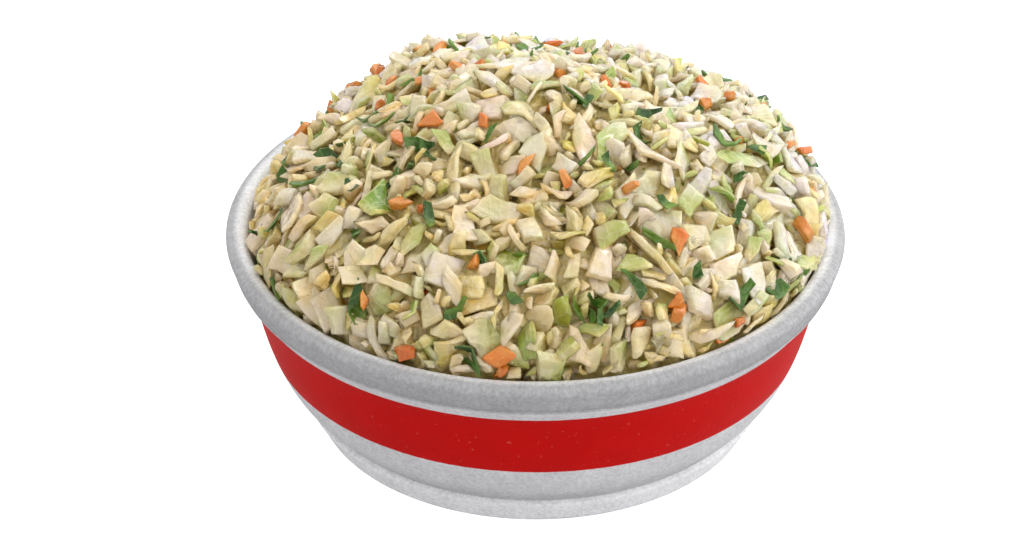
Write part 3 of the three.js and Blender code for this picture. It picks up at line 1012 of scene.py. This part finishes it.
# Grows a crumb on every point, turned and stretched by the point's own values, and dents them all.
def crumbTree():
    tree = bpy.data.node_groups.new("crumbsOnPoints", "GeometryNodeTree")
    for label, way, sort in (("Geometry", "INPUT", "Geometry"), ("Dents", "INPUT", "Float"),
                             ("Dent size", "INPUT", "Float"), ("Finish", "INPUT", "Material"),
                             ("Geometry", "OUTPUT", "Geometry")):
        tree.interface.new_socket(label, in_out=way, socket_type="NodeSocket" + sort)
    given, result = tree.nodes.new("NodeGroupInput"), tree.nodes.new("NodeGroupOutput")
    vectors = {"data_type": "FLOAT_VECTOR"}
    turn = addNode(tree, "GeometryNodeInputNamedAttribute", vectors, Name="turn").outputs["Attribute"]
    stretch = addNode(tree, "GeometryNodeInputNamedAttribute", vectors, Name="stretch").outputs["Attribute"]
    crumb = addNode(tree, "GeometryNodeMeshIcoSphere", Radius=1, Subdivisions=1).outputs["Mesh"]
    grown = addNode(tree, "GeometryNodeInstanceOnPoints", Points=given.outputs["Geometry"], Instance=crumb,
                    Rotation=turn, Scale=stretch)
    real = addNode(tree, "GeometryNodeRealizeInstances", Geometry=grown.outputs["Instances"])
    where = addNode(tree, "GeometryNodeInputPosition").outputs["Position"]
    placed = addNode(tree, "GeometryNodeStoreNamedAttribute", {**vectors, "domain": "POINT"},
                     Geometry=real.outputs["Geometry"], Name="cutPlace", Value=where)
    scale = math2(tree, "DIVIDE", 1 / mm, given.outputs["Dent size"])
    noise = addNode(tree, "ShaderNodeTexNoise", Vector=where, Scale=scale)
    dent = vectorMath(tree, "SUBTRACT", i0=noise.outputs["Color"], i1=(0.5, 0.5, 0.5))
    deep = vectorMath(tree, "SCALE", i0=dent, Scale=times(tree, given.outputs["Dents"], mm))
    dented = addNode(tree, "GeometryNodeSetPosition", Geometry=placed.outputs["Geometry"], Offset=deep)
    done = addNode(tree, "GeometryNodeSetMaterial", Geometry=dented.outputs["Geometry"],
                   Material=given.outputs["Finish"])
    tree.links.new(done.outputs["Geometry"], result.inputs["Geometry"])
    return tree


# Crumbs gather in the gaps.
def crumbPiece(material):
    lows = np.where(inHeap, np.clip(skin - level - 0.3, 0, 1.5), 0) * np.sin(np.maximum(mapTilt, 0.02))
    lows = (lows / np.maximum(mapTilt, 0.02)).ravel()
    spots = rng.choice(side * side, 2 * crumbs["count"], replace=False, p=lows / lows.sum())
    points = centre + mapWay.reshape(-1, 3)[spots] * (level.ravel()[spots] - crumbs["sink"])[:, None]
    inside = np.hypot(points[:, 0], points[:, 1]) < room(points[:, 2]) - crumbs["size"][1]
    points = points[inside][:crumbs["count"]]
    count = len(points)
    size = rng.uniform(*crumbs["size"], count)
    stretch = size[:, None] * np.column_stack([np.ones(count), rng.uniform(*crumbs["slim"], (count, 2))])
    tints = np.array(crumbs["palette"])[rng.integers(len(crumbs["palette"]), size=count)]
    piece = meshPiece("crumbs", points * mm, [])
    addAttribute(piece, "turn", rng.uniform(0, fullTurn, (count, 3)))
    addAttribute(piece, "stretch", stretch * mm)
    # The crumbs take the same painted shade as the pieces.
    addAttribute(piece, "tint", np.column_stack([dressedAndShaded(tints, points), np.ones(count)]))
    grower = piece.modifiers.new("growCrumbs", "NODES")
    grower.node_group = crumbTree()
    values = {"Dents": crumbs["dents"], "Dent size": crumbs["dentSize"], "Finish": material}
    for item in grower.node_group.interface.items_tree:
        if item.in_out == "INPUT" and item.name in values:
            grower[item.identifier] = values[item.name]
    seen = bpy.context.evaluated_depsgraph_get()
    grown = piece.evaluated_get(seen)
    mesh = bpy.data.meshes.new_from_object(grown, preserve_all_data_layers=True, depsgraph=seen)
    piece.modifiers.clear()
    piece.data = mesh
    mesh.polygons.foreach_set("use_smooth", [True] * len(mesh.polygons))
    mesh.update()
    print("   crumbs", count, "pieces,", len(mesh.polygons), "triangles")
    return piece


slawPieces["crumbs"] = crumbPiece(slawMaterials["creamCabbage"])

print("setting up the floor, lights and camera")
studio = {
    "floor": (0.30, 0.30, 0.305),
    "floorGlow": 0.26,
    "floorSeen": 0.85,
    "world": 0.71,
    "suns": {                       # power, width in degrees, place
        "rightLight": (1.8, 100, (0.84, 0.10, 0.42)),
        "rearLight": (0.55, 80, (0.05, 0.87, 0.42)),
        "leftLight": (0.38, 80, (-0.80, 0.30, 0.42)),
        "frontLight": (0.22, 100, (0.25, -0.72, 0.62)),
        "glint": (0.3, 9, (0.25, 0.75, 0.95)),
    },
    "floorReach": 3,                # places here and below are in metres
    "eye": (0.0, -0.5990, 0.4022),
    "aim": (-0.00439, -0.00505, 0.03165),
    "lens": 130.1,
}


def lookAt(thing, eye, aim):
    thing.location = eye
    thing.rotation_euler = (Vector(aim) - Vector(eye)).to_track_quat("-Z", "Y").to_euler()


def softSun(name, power, angle, place):
    sun = bpy.data.objects.new(name, bpy.data.lights.new(name, "SUN"))
    sun.data.energy = power
    sun.data.angle = math.radians(angle)
    bpy.context.scene.collection.objects.link(sun)
    lookAt(sun, place, (0, 0, 0))


for name, values in studio["suns"].items():
    softSun(name, *values)

world = bpy.data.worlds.new("paleRoom")
world.use_nodes = True
setSockets(world.node_tree.nodes["Background"], {"Color": (1, 1, 1, 1), "Strength": studio["world"]})
bpy.context.scene.world = world

far = studio["floorReach"]
floorPoints = [(-far, -far, 0), (far, -far, 0), (far, far, 0), (-far, far, 0)]
floor = meshPiece("floor", floorPoints, [(0, 1, 2, 3)], False)
floorMaterial, floorTree, floorShader = newMaterial("paleFloor")
setSockets(floorShader, {"Base Color": (*studio["floor"], 1), "Roughness": 0.7,
                         "Emission Color": (1, 1, 1, 1)})
seen = addNode(floorTree, "ShaderNodeLightPath").outputs["Is Camera Ray"]
glow = addNode(floorTree, "ShaderNodeMath", {"operation": "MULTIPLY_ADD"}, i0=seen, i1=studio["floorSeen"],
               i2=studio["floorGlow"])
floorTree.links.new(glow.outputs[0], floorShader.inputs["Emission Strength"])
floor.data.materials.append(floorMaterial)

camera = bpy.data.objects.new("camera", bpy.data.cameras.new("camera"))
camera.data.lens = studio["lens"]
camera.data.sensor_width = 36
camera.data.clip_start = 0.01
bpy.context.scene.collection.objects.link(camera)
lookAt(camera, studio["eye"], studio["aim"])
bpy.context.scene.camera = camera
bpy.context.scene.view_settings.view_transform = "Standard"

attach(foamBowl, "root")
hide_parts("bowl")
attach(slawCore, "root")
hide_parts("coleslaw")
for piece in slawPieces.values():
    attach(piece, "root")
